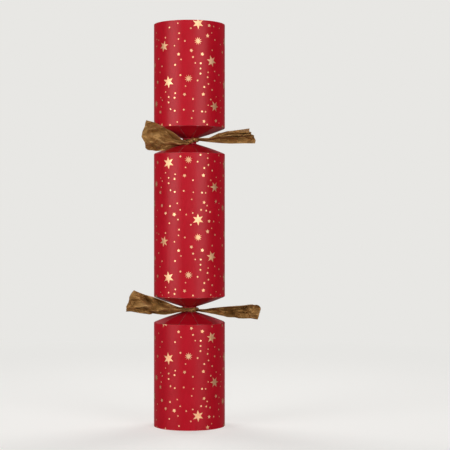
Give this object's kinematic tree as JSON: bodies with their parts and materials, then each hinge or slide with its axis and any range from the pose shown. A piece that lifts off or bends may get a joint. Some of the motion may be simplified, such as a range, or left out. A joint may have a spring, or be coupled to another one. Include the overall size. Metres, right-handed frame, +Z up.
{
  "type": "christmas cracker",
  "caption": "Upright christmas cracker: rolled red card barrel and end handles with foil stars, folded petal chokes tied with crinkled gold ribbon, a pull snap and small gifts inside.",
  "frame": {"origin": "centre of the bottom end's cut edge, on the cracker's axis, where it stands on the table", "axes": "+Z up along the cracker's axis, -Y towards the knots, +X to the right as the knots are seen"},
  "size_m": [0.1, 0.0543, 0.305],
  "materials": {
    "red_card": "satin",
    "gold_ribbon": "satin",
    "snap_card": "matte",
    "snap_patch": "matte",
    "band_paper": "matte",
    "tissue": "matte",
    "slip_paper": "matte",
    "plywood": "matte"
  },
  "bodies": {
    "bottom_end": {"bottom_end_tube": "red_card", "bottom_end_petals": "red_card", "bottom_ribbon": "gold_ribbon", "snap_strip_bottom": "snap_card", "snap_charge": "snap_patch", "snap_band": "band_paper"},
    "barrel": {"barrel_card": "red_card"},
    "top_end": {"top_end_tube": "red_card", "top_end_petals": "red_card", "top_ribbon": "gold_ribbon", "snap_strip_top": "snap_card", "snap_abrasive": "snap_patch"},
    "hat": {"paper_hat": "tissue", "hat_band": "band_paper"},
    "joke": {"joke_slip": "slip_paper"},
    "conversation": {"conversation_slip": "slip_paper"},
    "decoration": {"wooden_star": "plywood"},
    "top_petal_01": {"barrel_petal_top_01": "red_card"},
    "top_petal_02": {"barrel_petal_top_02": "red_card"},
    "top_petal_03": {"barrel_petal_top_03": "red_card"},
    "top_petal_04": {"barrel_petal_top_04": "red_card"},
    "top_petal_05": {"barrel_petal_top_05": "red_card"},
    "top_petal_06": {"barrel_petal_top_06": "red_card"},
    "top_petal_07": {"barrel_petal_top_07": "red_card"},
    "top_petal_08": {"barrel_petal_top_08": "red_card"},
    "top_petal_09": {"barrel_petal_top_09": "red_card"},
    "top_petal_10": {"barrel_petal_top_10": "red_card"},
    "top_petal_11": {"barrel_petal_top_11": "red_card"},
    "top_petal_12": {"barrel_petal_top_12": "red_card"},
    "bottom_petal_01": {"barrel_petal_bottom_01": "red_card"},
    "bottom_petal_02": {"barrel_petal_bottom_02": "red_card"},
    "bottom_petal_03": {"barrel_petal_bottom_03": "red_card"},
    "bottom_petal_04": {"barrel_petal_bottom_04": "red_card"},
    "bottom_petal_05": {"barrel_petal_bottom_05": "red_card"},
    "bottom_petal_06": {"barrel_petal_bottom_06": "red_card"},
    "bottom_petal_07": {"barrel_petal_bottom_07": "red_card"},
    "bottom_petal_08": {"barrel_petal_bottom_08": "red_card"},
    "bottom_petal_09": {"barrel_petal_bottom_09": "red_card"},
    "bottom_petal_10": {"barrel_petal_bottom_10": "red_card"},
    "bottom_petal_11": {"barrel_petal_bottom_11": "red_card"},
    "bottom_petal_12": {"barrel_petal_bottom_12": "red_card"}
  },
  "joints": [
    {"name": "bottom_pull", "type": "slide", "parent": "bottom_end", "child": "barrel", "axis": [0, 0, 1], "range_m": [0, 0.15]},
    {"name": "top_pull", "type": "slide", "parent": "barrel", "child": "top_end", "axis": [0, 0, 1], "range_m": [0, 0.15]},
    {"name": "top_petal_01_fold", "type": "hinge", "parent": "barrel", "child": "top_petal_01", "pos_m": [0, -0.027, 0.2065], "axis": [1, 0, 0], "range_deg": [0, 75]},
    {"name": "top_petal_02_fold", "type": "hinge", "parent": "barrel", "child": "top_petal_02", "pos_m": [0.0135, -0.02338, 0.2065], "axis": [0.866, 0.5, 0], "range_deg": [0, 75]},
    {"name": "top_petal_03_fold", "type": "hinge", "parent": "barrel", "child": "top_petal_03", "pos_m": [0.02338, -0.0135, 0.2065], "axis": [0.5, 0.866, 0], "range_deg": [0, 75]},
    {"name": "top_petal_04_fold", "type": "hinge", "parent": "barrel", "child": "top_petal_04", "pos_m": [0.027, 0, 0.2065], "axis": [0, 1, 0], "range_deg": [0, 75]},
    {"name": "top_petal_05_fold", "type": "hinge", "parent": "barrel", "child": "top_petal_05", "pos_m": [0.02338, 0.0135, 0.2065], "axis": [-0.5, 0.866, 0], "range_deg": [0, 75]},
    {"name": "top_petal_06_fold", "type": "hinge", "parent": "barrel", "child": "top_petal_06", "pos_m": [0.0135, 0.02338, 0.2065], "axis": [-0.866, 0.5, 0], "range_deg": [0, 75]},
    {"name": "top_petal_07_fold", "type": "hinge", "parent": "barrel", "child": "top_petal_07", "pos_m": [0, 0.027, 0.2065], "axis": [-1, 0, 0], "range_deg": [0, 75]},
    {"name": "top_petal_08_fold", "type": "hinge", "parent": "barrel", "child": "top_petal_08", "pos_m": [-0.0135, 0.02338, 0.2065], "axis": [-0.866, -0.5, 0], "range_deg": [0, 75]},
    {"name": "top_petal_09_fold", "type": "hinge", "parent": "barrel", "child": "top_petal_09", "pos_m": [-0.02338, 0.0135, 0.2065], "axis": [-0.5, -0.866, 0], "range_deg": [0, 75]},
    {"name": "top_petal_10_fold", "type": "hinge", "parent": "barrel", "child": "top_petal_10", "pos_m": [-0.027, 0, 0.2065], "axis": [0, -1, 0], "range_deg": [0, 75]},
    {"name": "top_petal_11_fold", "type": "hinge", "parent": "barrel", "child": "top_petal_11", "pos_m": [-0.02338, -0.0135, 0.2065], "axis": [0.5, -0.866, 0], "range_deg": [0, 75]},
    {"name": "top_petal_12_fold", "type": "hinge", "parent": "barrel", "child": "top_petal_12", "pos_m": [-0.0135, -0.02338, 0.2065], "axis": [0.866, -0.5, 0], "range_deg": [0, 75]},
    {"name": "bottom_petal_01_fold", "type": "hinge", "parent": "barrel", "child": "bottom_petal_01", "pos_m": [0, -0.027, 0.0985], "axis": [-1, 0, 0], "range_deg": [0, 75]},
    {"name": "bottom_petal_02_fold", "type": "hinge", "parent": "barrel", "child": "bottom_petal_02", "pos_m": [0.0135, -0.02338, 0.0985], "axis": [-0.866, -0.5, 0], "range_deg": [0, 75]},
    {"name": "bottom_petal_03_fold", "type": "hinge", "parent": "barrel", "child": "bottom_petal_03", "pos_m": [0.02338, -0.0135, 0.0985], "axis": [-0.5, -0.866, 0], "range_deg": [0, 75]},
    {"name": "bottom_petal_04_fold", "type": "hinge", "parent": "barrel", "child": "bottom_petal_04", "pos_m": [0.027, 0, 0.0985], "axis": [0, -1, 0], "range_deg": [0, 75]},
    {"name": "bottom_petal_05_fold", "type": "hinge", "parent": "barrel", "child": "bottom_petal_05", "pos_m": [0.02338, 0.0135, 0.0985], "axis": [0.5, -0.866, 0], "range_deg": [0, 75]},
    {"name": "bottom_petal_06_fold", "type": "hinge", "parent": "barrel", "child": "bottom_petal_06", "pos_m": [0.0135, 0.02338, 0.0985], "axis": [0.866, -0.5, 0], "range_deg": [0, 75]},
    {"name": "bottom_petal_07_fold", "type": "hinge", "parent": "barrel", "child": "bottom_petal_07", "pos_m": [0, 0.027, 0.0985], "axis": [1, 0, 0], "range_deg": [0, 75]},
    {"name": "bottom_petal_08_fold", "type": "hinge", "parent": "barrel", "child": "bottom_petal_08", "pos_m": [-0.0135, 0.02338, 0.0985], "axis": [0.866, 0.5, 0], "range_deg": [0, 75]},
    {"name": "bottom_petal_09_fold", "type": "hinge", "parent": "barrel", "child": "bottom_petal_09", "pos_m": [-0.02338, 0.0135, 0.0985], "axis": [0.5, 0.866, 0], "range_deg": [0, 75]},
    {"name": "bottom_petal_10_fold", "type": "hinge", "parent": "barrel", "child": "bottom_petal_10", "pos_m": [-0.027, 0, 0.0985], "axis": [0, 1, 0], "range_deg": [0, 75]},
    {"name": "bottom_petal_11_fold", "type": "hinge", "parent": "barrel", "child": "bottom_petal_11", "pos_m": [-0.02338, -0.0135, 0.0985], "axis": [-0.5, 0.866, 0], "range_deg": [0, 75]},
    {"name": "bottom_petal_12_fold", "type": "hinge", "parent": "barrel", "child": "bottom_petal_12", "pos_m": [-0.0135, -0.02338, 0.0985], "axis": [-0.866, 0.5, 0], "range_deg": [0, 75]},
    {"name": "hat_out", "type": "slide", "parent": "barrel", "child": "hat", "axis": [0, 0, 1], "range_m": [0, 0.0795]},
    {"name": "joke_out", "type": "slide", "parent": "barrel", "child": "joke", "axis": [0, 0, 1], "range_m": [0, 0.0954]},
    {"name": "conversation_out", "type": "slide", "parent": "barrel", "child": "conversation", "axis": [0, 0, 1], "range_m": [0, 0.0875]},
    {"name": "decoration_out", "type": "slide", "parent": "barrel", "child": "decoration", "axis": [0, 0, 1], "range_m": [0, 0.1272]}
  ],
  "couplings": [
    {"joint": "top_petal_01_fold", "follows": "top_pull", "rad_per_m": 7.9},
    {"joint": "top_petal_02_fold", "follows": "top_pull", "rad_per_m": 7.9},
    {"joint": "top_petal_03_fold", "follows": "top_pull", "rad_per_m": 7.9},
    {"joint": "top_petal_04_fold", "follows": "top_pull", "rad_per_m": 7.9},
    {"joint": "top_petal_05_fold", "follows": "top_pull", "rad_per_m": 7.9},
    {"joint": "top_petal_06_fold", "follows": "top_pull", "rad_per_m": 7.9},
    {"joint": "top_petal_07_fold", "follows": "top_pull", "rad_per_m": 7.9},
    {"joint": "top_petal_08_fold", "follows": "top_pull", "rad_per_m": 7.9},
    {"joint": "top_petal_09_fold", "follows": "top_pull", "rad_per_m": 7.9},
    {"joint": "top_petal_10_fold", "follows": "top_pull", "rad_per_m": 7.9},
    {"joint": "top_petal_11_fold", "follows": "top_pull", "rad_per_m": 7.9},
    {"joint": "top_petal_12_fold", "follows": "top_pull", "rad_per_m": 7.9},
    {"joint": "bottom_petal_01_fold", "follows": "bottom_pull", "rad_per_m": 7.9},
    {"joint": "bottom_petal_02_fold", "follows": "bottom_pull", "rad_per_m": 7.9},
    {"joint": "bottom_petal_03_fold", "follows": "bottom_pull", "rad_per_m": 7.9},
    {"joint": "bottom_petal_04_fold", "follows": "bottom_pull", "rad_per_m": 7.9},
    {"joint": "bottom_petal_05_fold", "follows": "bottom_pull", "rad_per_m": 7.9},
    {"joint": "bottom_petal_06_fold", "follows": "bottom_pull", "rad_per_m": 7.9},
    {"joint": "bottom_petal_07_fold", "follows": "bottom_pull", "rad_per_m": 7.9},
    {"joint": "bottom_petal_08_fold", "follows": "bottom_pull", "rad_per_m": 7.9},
    {"joint": "bottom_petal_09_fold", "follows": "bottom_pull", "rad_per_m": 7.9},
    {"joint": "bottom_petal_10_fold", "follows": "bottom_pull", "rad_per_m": 7.9},
    {"joint": "bottom_petal_11_fold", "follows": "bottom_pull", "rad_per_m": 7.9},
    {"joint": "bottom_petal_12_fold", "follows": "bottom_pull", "rad_per_m": 7.9},
    {"joint": "hat_out", "follows": "top_pull", "ratio": 0.5},
    {"joint": "joke_out", "follows": "top_pull", "ratio": 0.6},
    {"joint": "conversation_out", "follows": "top_pull", "ratio": 0.55},
    {"joint": "decoration_out", "follows": "top_pull", "ratio": 0.8}
  ]
}
